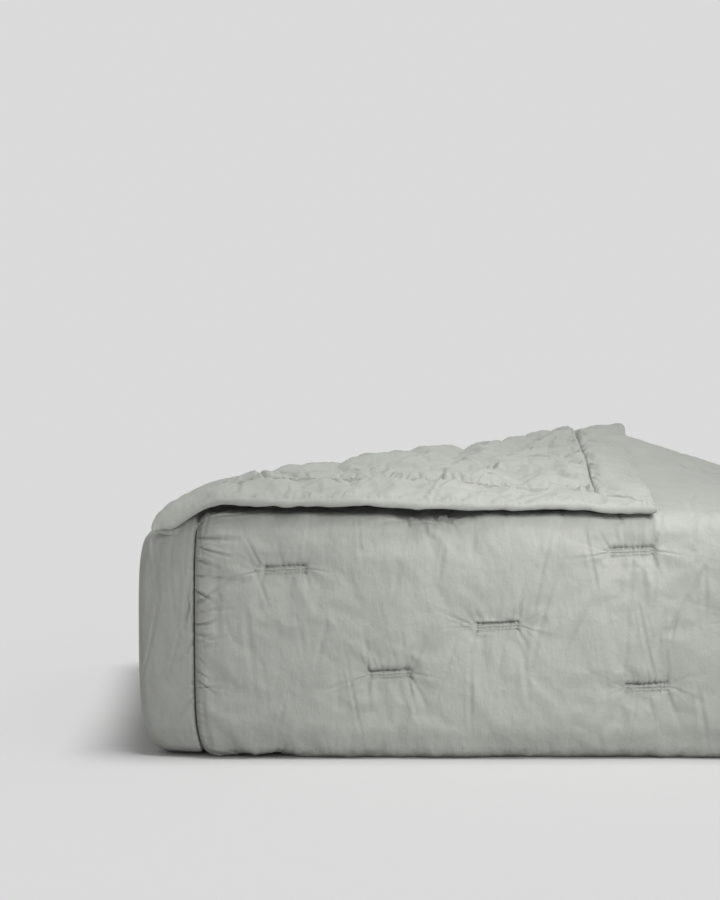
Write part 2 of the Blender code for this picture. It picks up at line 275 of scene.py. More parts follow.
def simulated_cloth(low, high, step, pinned, growth, pressure, seed, bending=1.0, level_out=0.9):
    """Lets a slightly oversized flat cloth puff up between its pinned seams and tacks.

    Returns a function of flat (u, v) that gives the cloth's height.
    """
    frames, swell_radius = 24, 0.015
    nu, nv = int((high[0] - low[0]) / step), int((high[1] - low[1]) / step)
    u, v = np.linspace(low[0], high[0], nu + 1), np.linspace(low[1], high[1], nv + 1)
    U, V = np.meshgrid(u, v, indexing="ij")
    held = pinned(U, V)
    start = 0.0005 * (noise(U, V, 0.022, seed) + noise(U, V, 0.011, seed + 1)) * (1 - held)
    index = np.arange(U.size).reshape(U.shape)
    quads = np.stack([index[:-1, :-1], index[1:, :-1], index[1:, 1:], index[:-1, 1:]], -1).reshape(-1, 4)
    mesh = bpy.data.meshes.new("cloth_run")
    mesh.from_pydata(np.stack([U, V, start], -1).reshape(-1, 3).tolist(), [], quads.tolist())
    cloth = add_object("cloth_run", mesh)
    scene = bpy.context.scene
    group = cloth.vertex_groups.new(name="held")
    group.add(np.nonzero(held.ravel() > 0.5)[0].tolist(), 1.0, "REPLACE")
    modifier = cloth.modifiers.new("cloth", "CLOTH")
    setting = modifier.settings
    setting.quality = 5
    setting.mass = 0.15
    setting.tension_stiffness = setting.compression_stiffness = 15
    setting.shear_stiffness = 5
    setting.bending_model = "ANGULAR"
    setting.bending_stiffness = bending
    setting.tension_damping = setting.shear_damping = 5
    setting.air_damping = 3
    setting.shrink_min = -growth
    setting.vertex_group_mass = group.name
    setting.use_pressure = True
    setting.uniform_pressure_force = pressure
    setting.effector_weights.gravity = 0.0
    modifier.collision_settings.use_collision = False
    modifier.collision_settings.use_self_collision = False
    modifier.point_cache.frame_start, modifier.point_cache.frame_end = 1, frames
    for frame_number in range(1, frames + 1):
        scene.frame_set(frame_number)
    settled = cloth.evaluated_get(bpy.context.evaluated_depsgraph_get()).data
    places = np.empty(len(settled.vertices) * 3)
    settled.vertices.foreach_get("co", places)
    heights = places.reshape(U.shape + (3,))[..., 2]
    heights = heights - blurred(heights, swell_radius / step) * level_out
    scene.frame_set(1)
    bpy.data.objects.remove(cloth)
    bpy.data.meshes.remove(mesh)

    def height(u, v):
        x, y = (np.asarray(u) - low[0]) / step, (np.asarray(v) - low[1]) / step
        x = x * nu * step / (high[0] - low[0])
        y = y * nv * step / (high[1] - low[1])
        inside = (x > -1) & (x < nu + 1) & (y > -1) & (y < nv + 1)
        return np.where(inside, cubic(heights, np.clip(x, 0, nu), np.clip(y, 0, nv)), 0.0)

    return height


def held_tacks(u, v, tacks):
    held = np.zeros(np.shape(u), bool)
    for _, tack in tacks:
        a, b = tack.local(u, v)
        held |= (np.abs(a) < tack.length / 2 + 0.001) & (np.abs(b) < tack.height / 2)
    return held


PIECES = []  # every piece of the quilt, in the order made


def spaced(low, high, step, fine_low=0.012, fine_high=0.012, extra=()):
    """Grid positions, closer together near the two ends and near each extra line."""
    lines = [(low, fine_low), (high, fine_high)] + [(e, 0.005) for e in extra]
    count = int((high - low) / step * 40)
    p = np.linspace(low, high, count)
    density = np.full(count, 1.0)
    for line, reach in lines:
        if reach > 0:
            density = np.maximum(density, 1 + 3.5 * np.exp(-((p - line) / (0.5 * reach)) ** 2))
    total = np.concatenate([[0], np.cumsum((density[1:] + density[:-1]) / 2 * np.diff(p))])
    steps = max(4, int(total[-1] / step))
    return np.interp(np.linspace(0, total[-1], steps + 1), total, p)


def rounding(distances):
    """Share of the full thickness near edges, for a list of (distance to the edge, edge radius)."""
    share = None
    for distance, radius in distances:
        t = np.clip(distance / radius, 0, 1)
        part = np.sqrt(np.clip(1 - (1 - t) ** 2, 0, 1))
        share = part if share is None else np.minimum(share, part)
    return share


def add_piece(name, mesh, material):
    mesh.shade_smooth()
    mesh.materials.append(material)
    PIECES.append(add_object(name, mesh))
    return PIECES[-1]


def closed_sheet(name, top, bottom, flat, material):
    """A closed mesh from two grids of points that face each other."""
    n, m = top.shape[:2]
    points = np.concatenate([top.reshape(-1, 3), bottom.reshape(-1, 3)])
    index = np.arange(n * m).reshape(n, m)
    a, b, c, d = index[:-1, :-1], index[1:, :-1], index[1:, 1:], index[:-1, 1:]
    upper = np.stack([a, b, c, d], -1).reshape(-1, 4)
    lower = upper[:, ::-1] + n * m
    ring = np.concatenate([index[:-1, 0], index[-1, :-1], index[:0:-1, -1], index[0, :0:-1]])
    follow = np.roll(ring, -1)
    rim = np.stack([follow, ring, ring + n * m, follow + n * m], -1)
    faces = np.concatenate([upper, lower, rim])
    i, j = n // 2, m // 2
    facing = np.cross(top[i + 1, j] - top[i, j], top[i, j + 1] - top[i, j])
    if facing @ (top[i, j] - bottom[i, j]) < 0:
        faces = faces[:, ::-1]
    mesh = bpy.data.meshes.new(name)
    mesh.vertices.add(len(points))
    mesh.vertices.foreach_set("co", points.astype(np.float32).ravel())
    mesh.loops.add(faces.size)
    mesh.loops.foreach_set("vertex_index", faces.astype(np.int32).ravel())
    mesh.polygons.add(len(faces))
    mesh.polygons.foreach_set("loop_start", np.arange(0, faces.size, 4, dtype=np.int32))
    mesh.polygons.foreach_set("loop_total", np.full(len(faces), 4, dtype=np.int32))
    mesh.update(calc_edges=True)
    layer = mesh.uv_layers.new(name="cloth")
    both = np.concatenate([flat.reshape(-1, 2), flat.reshape(-1, 2)])
    layer.data.foreach_set("uv", both[faces.ravel()].astype(np.float32).ravel())
    mesh.validate()
    return add_piece(name, mesh, material)


# ---------------------------------------------------------------- materials


def new_material(name):
    material = bpy.data.materials.new(name)
    material.use_nodes = True
    return material, material.node_tree.nodes, material.node_tree.links


def set_inputs(node, **values):
    """Sets input sockets by name, with an underscore for each space, and returns the node."""
    for socket, value in values.items():
        node.inputs[socket.replace("_", " ")].default_value = value
    return node


def tinted(colour, factor):
    return (*[min(1.0, c * factor) for c in colour], 1.0)


def colour_mix(nodes, links, pattern, low, high):
    """Mixes two colours by a pattern."""
    mix = nodes.new("ShaderNodeMix")
    mix.data_type = "RGBA"
    set_inputs(mix, A=low, B=high)
    links.new(pattern, mix.inputs["Factor"])
    return mix.outputs["Result"]


def bumped(nodes, links, pattern, distance, under=None):
    """Bump from a pattern, on top of the normal under it."""
    layer = set_inputs(nodes.new("ShaderNodeBump"), Strength=1.0, Distance=distance)
    links.new(pattern, layer.inputs["Height"])
    if under is not None:
        links.new(under, layer.inputs["Normal"])
    return layer.outputs["Normal"]


def cotton(name, colour, bump=1.0):
    """Matt plain-weave cotton: thread grid, slubs, crinkle and slight shade differences."""
    material, nodes, links = new_material(name)
    shader = set_inputs(
        nodes["Principled BSDF"],
        Roughness=0.86,
        Specular_IOR_Level=0.22,
        Sheen_Weight=0.16,
        Sheen_Roughness=0.55,
        Sheen_Tint=(0.95, 0.97, 0.94, 1.0),
    )
    coords = nodes.new("ShaderNodeTexCoord")

    def pattern(scale, detail, seed, stretch=(1.0, 1.0, 1.0)):
        mapping = nodes.new("ShaderNodeMapping")
        set_inputs(mapping, Scale=stretch, Location=(seed, seed * 0.7, seed * 0.3))
        links.new(coords.outputs["Object"], mapping.inputs["Vector"])
        texture = nodes.new("ShaderNodeTexNoise")
        set_inputs(texture, Scale=scale, Detail=detail, Roughness=0.55)
        links.new(mapping.outputs["Vector"], texture.inputs["Vector"])
        return texture.outputs["Fac"]

    flat = nodes.new("ShaderNodeUVMap")
    flat.uv_map = "cloth"
    weave = nodes.new("ShaderNodeMath")
    weave.operation = "ADD"
    for k, direction in enumerate(("X", "Y")):
        wave = nodes.new("ShaderNodeTexWave")
        wave.bands_direction = direction
        set_inputs(wave, Scale=440.0, Distortion=1.6, Detail=1.0, Detail_Scale=0.6)
        links.new(flat.outputs["UV"], wave.inputs["Vector"])
        links.new(wave.outputs["Fac"], weave.inputs[k])

    shade = nodes.new("ShaderNodeMapRange")
    set_inputs(shade, From_Min=0.3, From_Max=0.7, To_Min=0.0, To_Max=1.0)
    links.new(pattern(34.0, 5.0, 3.1), shade.inputs["Value"])
    mottle = colour_mix(nodes, links, shade.outputs["Result"], tinted(colour, 0.955), tinted(colour, 1.035))
    slub = nodes.new("ShaderNodeMix")
    slub.data_type = "RGBA"
    slub.blend_type = "MULTIPLY"
    set_inputs(slub, Factor=0.10)
    links.new(mottle, slub.inputs["A"])
    links.new(pattern(900.0, 2.0, 7.7), slub.inputs["B"])
    links.new(slub.outputs["Result"], shader.inputs["Base Color"])

    normal = bumped(nodes, links, weave.outputs["Value"], 0.00002 * bump)
    normal = bumped(nodes, links, pattern(330.0, 3.0, 5.3), 0.00042 * bump, normal)
    normal = bumped(nodes, links, pattern(120.0, 3.0, 9.1, (1.6, 1.0, 0.55)), 0.00085 * bump, normal)
    links.new(normal, shader.inputs["Normal"])
    return material


def thread_material(name, colour):
    """Matt spun sewing thread with a fine twist."""
    material, nodes, links = new_material(name)
    shader = set_inputs(nodes["Principled BSDF"], Roughness=0.7, Sheen_Weight=0.1)
    texture = set_inputs(nodes.new("ShaderNodeTexNoise"), Scale=1400.0)
    links.new(nodes.new("ShaderNodeTexCoord").outputs["Object"], texture.inputs["Vector"])
    twist = texture.outputs["Fac"]
    shades = colour_mix(nodes, links, twist, tinted(colour, 0.85), tinted(colour, 1.12))
    links.new(shades, shader.inputs["Base Color"])
    links.new(bumped(nodes, links, twist, 0.00008), shader.inputs["Normal"])
    return material


# ---------------------------------------------------------------- folded shape


class Route:
    """A line in the Y-Z plane with its length along it and the direction of its face side."""

    def __init__(self, runs):
        places, faces = [], []
        for run in runs:
            for place, face in run:
                places.append(place)
                faces.append(face)
        self.places, self.faces = np.array(places, float), np.array(faces, float)
        gaps = np.linalg.norm(np.diff(self.places, axis=0), axis=1)
        keep = np.concatenate([[True], gaps > 1e-7])
        self.places, self.faces = self.places[keep], self.faces[keep]
        gaps = np.linalg.norm(np.diff(self.places, axis=0), axis=1)
        self.at = np.concatenate([[0], np.cumsum(gaps)])
        self.length = self.at[-1]

    def place(self, s):
        y = np.interp(s, self.at, self.places[:, 0])
        z = np.interp(s, self.at, self.places[:, 1])
        return y, z

    def face(self, s):
        y = np.interp(s, self.at, self.faces[:, 0])
        z = np.interp(s, self.at, self.faces[:, 1])
        size = np.maximum(np.hypot(y, z), 1e-6)
        return y / size, z / size

    def nearest(self, y, z):
        """Length along the route at its point nearest to (y, z)."""
        return self.at[np.argmin(np.hypot(self.places[:, 0] - y, self.places[:, 1] - z))]


def line(start, end, face, step=0.001):
    count = max(2, int(math.dist(start, end) / step))
    return [
        ((start[0] + (end[0] - start[0]) * k / count, start[1] + (end[1] - start[1]) * k / count), face)
        for k in range(count + 1)
    ]


def bend(centre, radius, start, turn, outward=1.0, step=0.001):
    """Points on an arc. Its faces point away from the centre, or towards it where outward is -1."""
    count = max(6, int(abs(turn) * radius / step))
    points = []
    for k in range(count + 1):
        angle = start + turn * k / count
        along = (math.cos(angle), math.sin(angle))
        place = (centre[0] + radius * along[0], centre[1] + radius * along[1])
        points.append((place, (outward * along[0], outward * along[1])))
    return points


LOW_BEND, HIGH_BEND = 0.0115, 0.017  # outside radii of the front's lower and upper edges
UNDER_START = BACK - STRIP  # where the underside starts to turn up into the back fold


def wrap_route():
    """Outside of the outer third: along the underside, up the front and back over the top."""
    quarter = math.pi / 2
    return Route(
        [
            line((UNDER_START, 0.0), (FRONT + LOW_BEND, 0.0), (0, -1)),
            bend((FRONT + LOW_BEND, LOW_BEND), LOW_BEND, -quarter, -quarter),
            line((FRONT, LOW_BEND), (FRONT, TOP - HIGH_BEND), (-1, 0)),
            bend((FRONT + HIGH_BEND, TOP - HIGH_BEND), HIGH_BEND, 2 * quarter, -quarter),
            line((FRONT + HIGH_BEND, TOP), (HEAD_EDGE, TOP), (0, 1)),
        ]
    )


WRAP = wrap_route()
FRONT_HIGH = WRAP.nearest(FRONT, TOP - HIGH_BEND)
TOP_START = WRAP.nearest(FRONT + HIGH_BEND, TOP)
UNDER_END = WRAP.nearest(FRONT + LOW_BEND, 0.0)
TUCK = 0.012  # how far the front's cloth reaches under the block
TUCKED = UNDER_END - TUCK  # where the front's cloth meets the underside's


def end_inset(z):
    """How far the block's ends draw in near its lower and upper edges."""
    return 0.024 * np.exp(-np.maximum(z, 0) / 0.0175) + 0.0110 * np.exp(-np.maximum(TOP - z, 0) / 0.0190)


def draw_in(x, z):
    """Rounds the block's two ends by moving cloth near them inwards."""
    inset = end_inset(z)
    return x + inset * (np.exp(-(x - LEFT) / 0.060) - np.exp(-(RIGHT - x) / 0.060))


def settle(x, y, z):
    """Height after the folded layers sag towards the block's ends, most at the back."""
    back = smooth(FRONT + 0.03, FRONT + 0.26, y)
    left = 0.014 * np.exp(-np.maximum(x - LEFT, 0) / 0.016)
    left = left + 0.042 * back * np.exp(-np.maximum(x - LEFT, 0) / 0.045)
    right = 0.012 * np.exp(-np.maximum(RIGHT - x, 0) / 0.045)
    return z - (left + right) * np.clip(z / TOP, 0, 1.2) ** 2.5


def top_lift(x, y):
    """How the top leaf stands above its level near the turned-back corner's far end."""
    back = smooth(FRONT + 0.10, HEAD_EDGE, y)
    corner = CREASE[0] + HEAD_EDGE - FRONT
    slope = 0.026 - 0.034 * np.clip((x - corner) / 0.100, -0.1, 1.0)
    fade = smooth(corner - 0.14, corner - 0.02, x)
    return back * slope * fade


def on_wrap(x, s, height):
    """A point of the outer third, given its place in the flat cloth and its height off the cloth."""
    y, z = WRAP.place(s)
    ny, nz = WRAP.face(s)
    rise = np.clip(z / TOP, 0, 1)
    belly = 0.0050 * smooth(0.0, 0.03, z) * (1 - smooth(0.82, 1.0, rise)) * (s < TOP_START)
    out = height + belly
    y = y + ny * out
    z = z + nz * out
    turned = 0.014 * np.exp(-(x - LEFT) / 0.026) + 0.010 * np.exp(-(RIGHT - x) / 0.020)
    y = y + turned * (1 - smooth(FRONT + 0.012, FRONT + 0.060, y))
    z = z + top_lift(x, y) * smooth(FRONT_HIGH, TOP_START, s)
    return np.stack([draw_in(x, z), y, np.maximum(settle(x, y, z), 0.0)], -1)


def crease_x(y):
    """Where the crease of the turned-back corner crosses the leaf at y."""
    return CREASE[0] + (y - FRONT)


ROLL = 0.0205  # outside radius of the rolled crease
REACH = 0.0065  # how far the corner stands out over the front
LIP = 0.020  # how far the roll's lower lip reaches under the corner
LIP_GAP = 0.0012  # between the lip and the leaf beside it
JOIN = 0.0008  # end rounding where two runs of one layer meet


def leaf_start(y):
    """Left edge of the leaf under the turned-back corner, where the crease roll's lip ends."""
    return crease_x(y) + (ROLL + LIP + LIP_GAP) * math.sqrt(2)


def placed_tacks(kind, count, angle, seed, flatten):
    """Tacks at the nodes of one kind. flatten carries a node's middle to flat (u, v)."""
    found = []
    for number in range(1, count + 1):
        name = f"{kind}_tack_{number}"
        low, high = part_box(name)
        found.append((name, Tack(*flatten((low + high) / 2), angle, seed + number)))
    return found


def flat_on(route):
    """Carries a world point to its x and its length along the route."""
    return lambda place: (place[0], route.nearest(place[1], place[2]))


SLANT = math.radians(2.5)  # the tacks' slope across the front
FRONT_TACKS = placed_tacks("front", 9, SLANT, 100, flat_on(WRAP))
LEAF_TACKS = placed_tacks("leaf", 3, SLANT, 120, flat_on(WRAP))
WRAP_TACKS = FRONT_TACKS + LEAF_TACKS


def panel_relief(u, v, tacks, creases, puff, seed, dip, seams, calm):
    """Height of a filled panel: loft drawn in at the tacks, settled cloth, crumple, and tack marks.

    The settled cloth's puckers are full near tacks and seams and reduced to the calm share elsewhere.
    """
    sunk = np.zeros_like(u)
    close = np.zeros_like(u)
    for _, tack in tacks:
        sink = tack.sink(u, v)
        sunk = 1 - (1 - sunk) * (1 - sink)
        close = np.maximum(close, sink)
    for distance in seams:
        close = np.maximum(close, np.exp(-np.abs(distance) / 0.030))
    share = calm + (1 - calm) * np.clip(1.4 * close, 0, 1)
    height = dip * (1 - sunk) + share * puff(u, v) + cloth_crumple(u, v, seed)
    for crease in creases:
        crease.add(u, v, height)
    for _, tack in tacks:
        tack.relief(u, v, height)
    return height


PANEL_DEPTH = 0.0135  # from the outer panel's underside to the block's outside
PANEL_SEAM = 0.30  # share of the outer panel's thickness that is left at its seam
SEAM_ROUND = 0.014  # how far in from the side seam the outer panel reaches full thickness


def panel_top(height, edge):
    """Offset of the outer panel's outside from the block's, from its relief and its edge share."""
    filled = np.maximum(PANEL_DEPTH + height, 0.004)
    return -PANEL_DEPTH + filled * (PANEL_SEAM + (1 - PANEL_SEAM) * edge)


def make_outer_panel(material):
    """Filled part of the outer third, from the bottom edge up the front and over the top."""
    head_seam = WRAP.length - HEM
    s = spaced(TUCKED, head_seam, FINE, 0.004, 0.012, extra=[tack.v for _, tack in WRAP_TACKS])
    over_top = s > TOP_START + 0.030
    s = np.unique(np.concatenate([s[~over_top], s[over_top][::2], s[-1:]]))
    u = spaced(0.0, 1.0, FINE / (RIGHT - SEAM), 0.02, 0.02)
    S, U = np.meshgrid(s, u, indexing="ij")
    y, _ = WRAP.place(S)
    cut = smooth(TOP_START - 0.002, TOP_START + 0.012, S)
    start = SEAM + (np.maximum(leaf_start(y), SEAM) - SEAM) * cut
    X = start + (RIGHT - start) * U

    tall = TOP_START - UNDER_END
    creases = seam_gathers(tall, 11, lambda v: (SEAM, UNDER_END + v), depth=(0.0006, 0.0014))
    for crease in creases:  # longer and deeper towards the top
        upper = 1 + 1.1 * float(smooth(0.35, 0.75, (crease.v - UNDER_END) / tall))
        crease.length *= upper
        crease.depth *= upper
        crease.width *= 0.8
    creases += tension_wrinkles((SEAM, UNDER_END), (RIGHT, TOP_START + 0.05), 90, 21, depth=(0.0002, 0.0008))
    over = TOP_START + 0.040

    def held(u, v):
        edges = (u < SEAM + 0.002) | (u > RIGHT - 0.003) | (v < UNDER_END + 0.002) | (v > over - 0.003)
        return edges | held_tacks(u, v, WRAP_TACKS)

    settled = simulated_cloth((SEAM, UNDER_END), (RIGHT, over), 0.0035, held, 0.020, 2.0, 31)

    def puff(u, v):
        return settled(u, v) * smooth(0.0, 0.022, u - SEAM)

    def relief(u, v):
        found = panel_relief(u, v, WRAP_TACKS, creases, puff, 31, 0.0055, [u - SEAM], 0.34)
        return found - 0.0025 - 0.0020 * smooth(FRONT_HIGH, TOP_START, v)

    height = relief(X, S)
    scallop = np.clip(noise(X, 0 * X, 0.034, 41) + 0.25, 0, 1) * 0.0035
    height -= scallop * np.exp(-(((S - (UNDER_END + 0.016)) / 0.012) ** 2))
    ends = [(RIGHT - X, 0.014), (head_seam - S, 0.009)]
    front = [(X - SEAM, SEAM_ROUND), (S - TUCKED + 0.001, 0.003)]
    edge = np.where(S > TOP_START, rounding(ends), rounding(ends + front))
    top = on_wrap(X, S, panel_top(height, edge))
    bottom = on_wrap(X, S, np.full_like(X, -PANEL_DEPTH - 0.0003))
    return closed_sheet("outer_panel", top, bottom, np.stack([X, S], -1), material), relief


def make_side_hem(material):
    """Wide bound hem down the block's left end."""
    end = WRAP.nearest(FRONT + HEM - 0.012, TOP)
    s = spaced(TUCKED, end, FINE, 0.004, 0.006)
    u = spaced(0.0, 1.0, FINE / HEM, 0.25, 0.2)
    S, U = np.meshgrid(s, u, indexing="ij")
    y, _ = WRAP.place(S)
    cut = smooth(FRONT_HIGH + 0.012, TOP_START + 0.004, S)
    start = LEFT + np.clip(crease_x(y) - LEFT, 0, HEM - 0.010) * cut
    X = start + (SEAM - start) * U
    low, high = (LEFT, UNDER_END), (SEAM, TOP_START)
    creases = tension_wrinkles(low, high, 16, 51, angle=1.1, spread=0.35, depth=(0.0003, 0.0008))
    shape = {"turn": math.pi, "flip": -1, "reach": (0.004, 0.010), "depth": (0.0003, 0.0006)}
    creases += seam_gathers(TOP_START - UNDER_END, 62, lambda v: (SEAM, UNDER_END + v), **shape)
    height = 1.2 * cloth_crumple(X, S, 61) - 0.0035
    for crease in creases:
        crease.add(X, S, height)
    edge = rounding([(X - start, 0.007), (SEAM - X, 0.005), (S - TUCKED + 0.001, 0.003)])
    top = on_wrap(X, S, -0.0125 + np.maximum(0.0125 + height, 0.003) * edge)
    bottom = on_wrap(X, S, np.full_like(X, -0.0128))
    return closed_sheet("side_hem", top, bottom, np.stack([X, S], -1), material)


def make_head_hem(material):
    """Bound hem along the top leaf's back edge, right of the turned-back corner."""
    s = spaced(WRAP.length - HEM + 0.0004, WRAP.length, FINE, 0.012, 0.012)
    u = spaced(0.0, 1.0, FINE / 0.3, 0.02, 0.03)
    S, U = np.meshgrid(s, u, indexing="ij")
    y, _ = WRAP.place(S)
    start = leaf_start(y)
    X = start + (RIGHT - start) * U
    height = cloth_crumple(X, S, 71) - 0.0055
    shape = {"turn": math.pi / 2, "reach": (0.005, 0.014), "depth": (0.0003, 0.0007)}
    for crease in seam_gathers(RIGHT, 72, lambda x: (x, S.min()), **shape):
        crease.add(X, S, height)
    edge = rounding([(RIGHT - X, 0.012), (S - S.min(), 0.005), (S.max() - S, 0.006)])
    top = on_wrap(X, S, -0.012 + np.maximum(0.012 + height, 0.003) * edge)
    bottom = on_wrap(X, S, np.full_like(X, -0.0135) + 0.002 * (1 - edge))
    return closed_sheet("head_hem", top, bottom, np.stack([X, S], -1), material)


# ---------------------------------------------------------------- turned-back corner

ALONG = np.array([1.0, 1.0]) / math.sqrt(2)  # the crease's direction, from the front edge
TOWARDS = np.array([1.0, -1.0]) / math.sqrt(2)  # from the crease towards the corner's tip
CORNER_THICK, CORNER_HEM_THICK = 0.0125, 0.0080
CORNER_SEAM, CORNER_HEM_SEAM = 0.14, 0.18  # shares of the thickness that are left at the seams
CORNER_ROUND = 0.0045  # how far in from its seams the corner's panel reaches full thickness


def crease_level(c):
    """Height of the leaf's underside at the crease, and the roll's outside radius, c along the crease."""
    grown = 1 - np.exp(-(np.maximum(c, 0) + 0.0015) / 0.028)
    base = TOP - LAYER - 0.0205 * (1 - grown)
    radius = 0.0085 + (ROLL - 0.0085) * grown + 0.0012 * smooth(0.08, 0.2, c)
    radius = radius + 0.0032 * smooth(0.42, 0.62, c) + 0.002 * smooth(0.60, 0.65, c)
    return base, radius


def on_crease(c, d, z):
    """World point from the distance along the crease, away from it towards the tip, and height."""
    shift = 0.002 * (1 - smooth(0.0, 0.08, c))
    x = LEFT + c * ALONG[0] + (d + shift) * TOWARDS[0]
    y = FRONT - REACH + c * ALONG[1] + (d + shift) * TOWARDS[1]
    return np.stack([x, y, z], -1)


def flap_level(p, q):
    """Height of the middle of the turned-back layer, away from its roll."""
    c, d = (p + q) / math.sqrt(2), (p - q) / math.sqrt(2)
    crest = TOP + 0.0221 + 0.004 * smooth(0.42, 0.60, c)
    plateau = crest - 0.0108 * smooth(0.14, 0.24, d) - 0.0045 * smooth(0.22, LEG / math.sqrt(2), d)
    plateau = plateau - 0.0285 * (1 - smooth(0.010, 0.074, p)) * (1 - smooth(0.0, 0.030, q))
    plateau = plateau - 0.0093 * (1 - smooth(0.14, 0.28, d)) * (1 - smooth(0.0, 0.046, q))
    head = 0.0105 * (1 - smooth(0.16, 0.27, d)) + 0.006 * (1 - smooth(0.0, 0.10, d))
    return plateau - head * smooth(LEG - 0.044, LEG, p)


def flap_point(p, q, w):
    """World place and face of the layer's middle.

    p and q are the flat corner's coordinates, along its side edge and in from it, where w is 0 or
    more. Where w is below 0, (p, q) is the row's point on the roll's top and w runs back round it.
    """
    c = (p + q) / math.sqrt(2)
    d = (p - q) / math.sqrt(2)
    base, radius = crease_level(c)
    half = np.minimum(LAYER / 2, radius * 0.62)
    r = radius - half
    centre = base + radius
    angle = np.clip(-w / r, 0, math.pi)
    past = np.maximum(-w - math.pi * r, 0)
    nose = 0.15 + 0.85 * rounding([(q, 0.009)])
    crest = centre + r * nose
    level = flap_level(p, q)
    join = smooth(0.0, 0.006 + 0.029 * smooth(0.015, 0.09, c), d - radius)
    z_over = crest * (1 - join) + level * join
    z = np.where(w < 0, centre + r * nose * np.cos(angle), z_over)
    d_here = np.where(w < 0, radius - r * nose * np.sin(angle) + past, d)
    under = ((1 - np.cos(angle)) / 2) ** 3
    tuck = (0.016 * under - 0.007 * np.sin(angle)) * np.exp(-((q / 0.035) ** 2))
    place = on_crease(c + tuck, d_here, z)
    nd = np.where(w < 0, -np.sin(angle), 0.0)
    nz = np.where(w < 0, np.cos(angle), 1.0)
    face = np.stack([nd * TOWARDS[0], nd * TOWARDS[1], nz], -1)
    return place, face, half


LIP_STEPS, ROLL_STEPS = 9, 26


def roll_runs(c):
    """Runs from the lip's end to the roll's top, shape (len(c), steps), all negative."""
    base, radius = crease_level(c)
    half = np.minimum(LAYER / 2, radius * 0.62)
    turn = math.pi * (radius - half)
    total = turn + LIP * smooth(0.015, 0.060, c) + 0.001
    share = np.linspace(1, 0, LIP_STEPS + ROLL_STEPS, endpoint=False)
    return -total[:, None] * share[None, :]


def flat_corner(P, Q, W):
    """Flat place of each point. Round the roll and under it the cloth runs on backwards."""
    back = np.minimum(W, 0) / math.sqrt(2)
    return P + back, Q - back


def roll_rows(rows, start, end, c):
    """Grid whose rows begin in the lip, go round the roll and end at the cloth's free edge.

    Returns the coordinate that changes over the top, the one that doesn't, and w.
    """
    runs = roll_runs(c)
    count = int(np.abs(end - start).max() / FINE)
    t = spaced(0.0, 1.0, 1.0 / count, 0.0, 0.03)
    over = start[:, None] + (end - start)[:, None] * t[None, :]
    moving = np.concatenate([np.repeat(start[:, None], runs.shape[1], 1), over], 1)
    still = np.repeat(rows[:, None], moving.shape[1], 1)
    return moving, still, np.concatenate([runs, np.zeros_like(over)], 1)


def rows_along_p(q_rows, p_end):
    """Rows of the corner at each q, from the lip under it to p_end."""
    c = q_rows * math.sqrt(2)
    for _ in range(12):
        c = q_rows * math.sqrt(2) + crease_level(c)[1]
    return roll_rows(q_rows, q_rows + crease_level(c)[1] * math.sqrt(2), p_end, c)


def flap_sheet(name, P, Q, W, thickness, height, edge, material):
    """A piece of the corner, a little uneven along its free edges."""
    place, face, half = flap_point(P, Q, W)
    body = np.minimum(thickness, 2 * half)
    run, inward = (P, Q) if np.ptp(Q) < np.ptp(P) else (Q, LEG - P)
    free = (1 - smooth(0.0, 0.022, inward)) * smooth(0.02, 0.08, P)
    place[..., 2] += 0.0010 * free * noise(run, 0 * run, 0.012, 301)
    place[..., 2] += 0.0009 * free * noise(run, 0 * run, 0.042, 302)
    place[..., 1] += 0.0012 * free * noise(run, 0 * run, 0.050, 303)
    body = body * (1 + 0.24 * free * noise(run, 0 * run, 0.0075, 304))
    top = place + face * ((body / 2 + height) * edge + 0.0003)[..., None]
    bottom = place - face * (body / 2 * edge + 0.0003)[..., None]
    return closed_sheet(name, top, bottom, np.stack([P, Q], -1), material)


def corner_share(*distances):
    """Share of the corner panel's thickness, from the distances to its seams."""
    return CORNER_SEAM + (1 - CORNER_SEAM) * rounding([(d, CORNER_ROUND) for d in distances])


CORNER_TACKS = placed_tacks(
    "flap", 3, math.pi / 2 + 0.04, 140, lambda place: (place[0] - LEFT, place[1] - (FRONT - OVERHANG))
)
CORNER_END = LEG - HEM - 0.0006  # the corner panel's seam with the head hem


def make_flap_panel(material):
    """Filled part of the corner. It lies with the quilt's back fabric up."""
    q_rows = spaced(HEM + 0.0006, LEG - HEM - ROLL * math.sqrt(2) - 0.0062, FINE, 0.010, 0.0)
    P, Q, W = rows_along_p(q_rows, np.full_like(q_rows, CORNER_END))
    depth = (0.0005, 0.0014)
    gathers = seam_gathers(LEG, 82, lambda x: (x + HEM, HEM), math.pi / 2, reach=(0.010, 0.042), depth=depth)
    gathers += seam_gathers(
        LEG, 83, lambda y: (CORNER_END, y + HEM), math.pi, reach=(0.008, 0.034), depth=depth
    )

    def held(p, q):
        edges = (q < HEM + 0.003) | (p > CORNER_END - 0.003) | (p < HEM - 0.02) | (q > CORNER_END - 0.002)
        return edges | held_tacks(p, q, CORNER_TACKS)

    low, high = (HEM - 0.03, HEM), (CORNER_END, CORNER_END)
    puff = simulated_cloth(low, high, 0.004, held, 0.040, 1.2, 81, bending=0.5)

    def relief(p, q):
        found = panel_relief(p, q, CORNER_TACKS, gathers, puff, 81, 0.004, [q - HEM, CORNER_END - p], 0.9)
        return 1.3 * found - 0.0032

    height = relief(*flat_corner(P, Q, W))
    edge = corner_share(Q - HEM, CORNER_END - P, q_rows[-1] - Q)
    return flap_sheet("flap_panel", P, Q, W, CORNER_THICK, height, edge, material), relief


